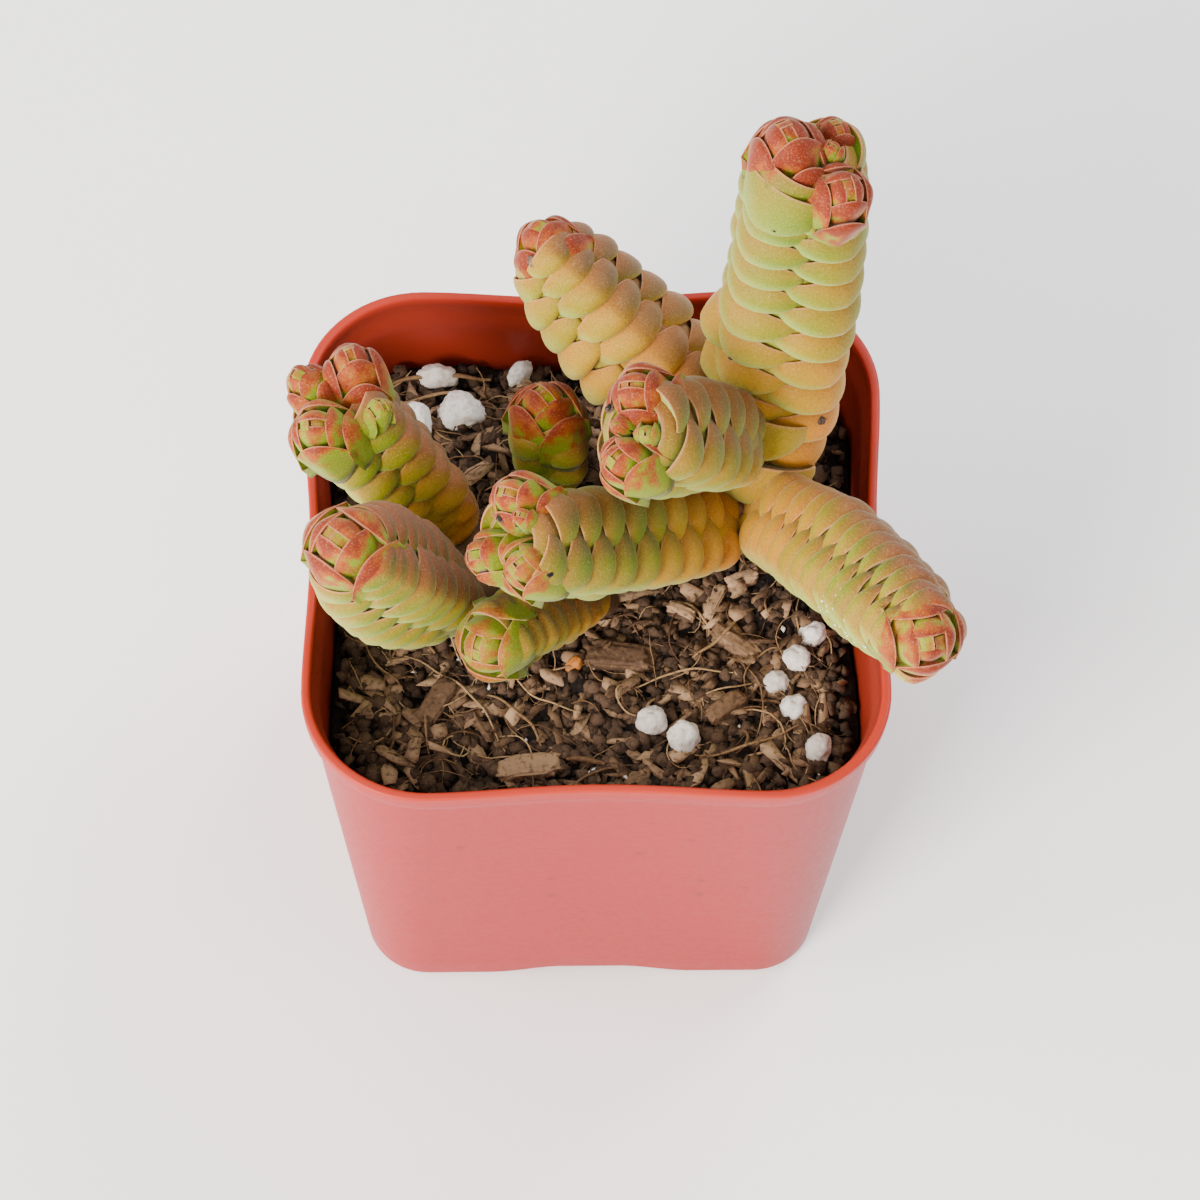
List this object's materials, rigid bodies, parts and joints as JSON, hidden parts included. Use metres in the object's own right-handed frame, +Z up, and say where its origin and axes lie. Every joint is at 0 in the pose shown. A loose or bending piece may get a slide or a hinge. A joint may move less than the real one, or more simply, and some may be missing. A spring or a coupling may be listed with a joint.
{
  "type": "potted succulent",
  "caption": "Potted columnar succulent: square leafy columns of stacked leaf pairs lean out of potting mix in a small square tapered plastic pot with round corners.",
  "frame": {"origin": "centre of the pot's base, on the plane the pot stands on", "axes": "+Z up out of the pot, +Y away from the viewer of the picture and square to a pot side, +X to that viewer's right; the low column with the single blunt head leans toward +X and -Y, the tallest column stands near the +X +Y corner"},
  "size_m": [0.0651, 0.057, 0.0948],
  "materials": {
    "pot": "satin terracotta pink moulded plastic with a soft sheen",
    "soil": "loose dark potting mix of bark, coir and grit",
    "bark": "weathered split bark",
    "perlite": "rough porous white grain",
    "stem": "corky brown stem",
    "leaf": "velvety papillose leaf, green to yellow, red and purple brown where the sun meets it, cream beneath"
  },
  "bodies": {
    "root": {"pot": "pot", "soil": "soil", "stem_main": "stem", "stem_left": "stem", "stem_low": "stem", "stem_small": "stem", "shoot_tall": "leaf", "shoot_front": "leaf", "shoot_back": "leaf", "shoot_left": "leaf", "shoot_right": "leaf", "shoot_outer": "leaf", "shoot_rear": "leaf", "shoot_low": "leaf", "shoot_small": "leaf", "perlite_1": "perlite", "perlite_2": "perlite", "perlite_3": "perlite", "perlite_4": "perlite", "perlite_5": "perlite", "perlite_6": "perlite", "perlite_7": "perlite", "perlite_8": "perlite", "perlite_9": "perlite", "perlite_10": "perlite", "perlite_11": "perlite", "bark_1": "bark", "bark_2": "bark", "bark_3": "bark", "bark_4": "bark", "bark_5": "bark", "bark_6": "bark"}
  },
  "joints": []
}
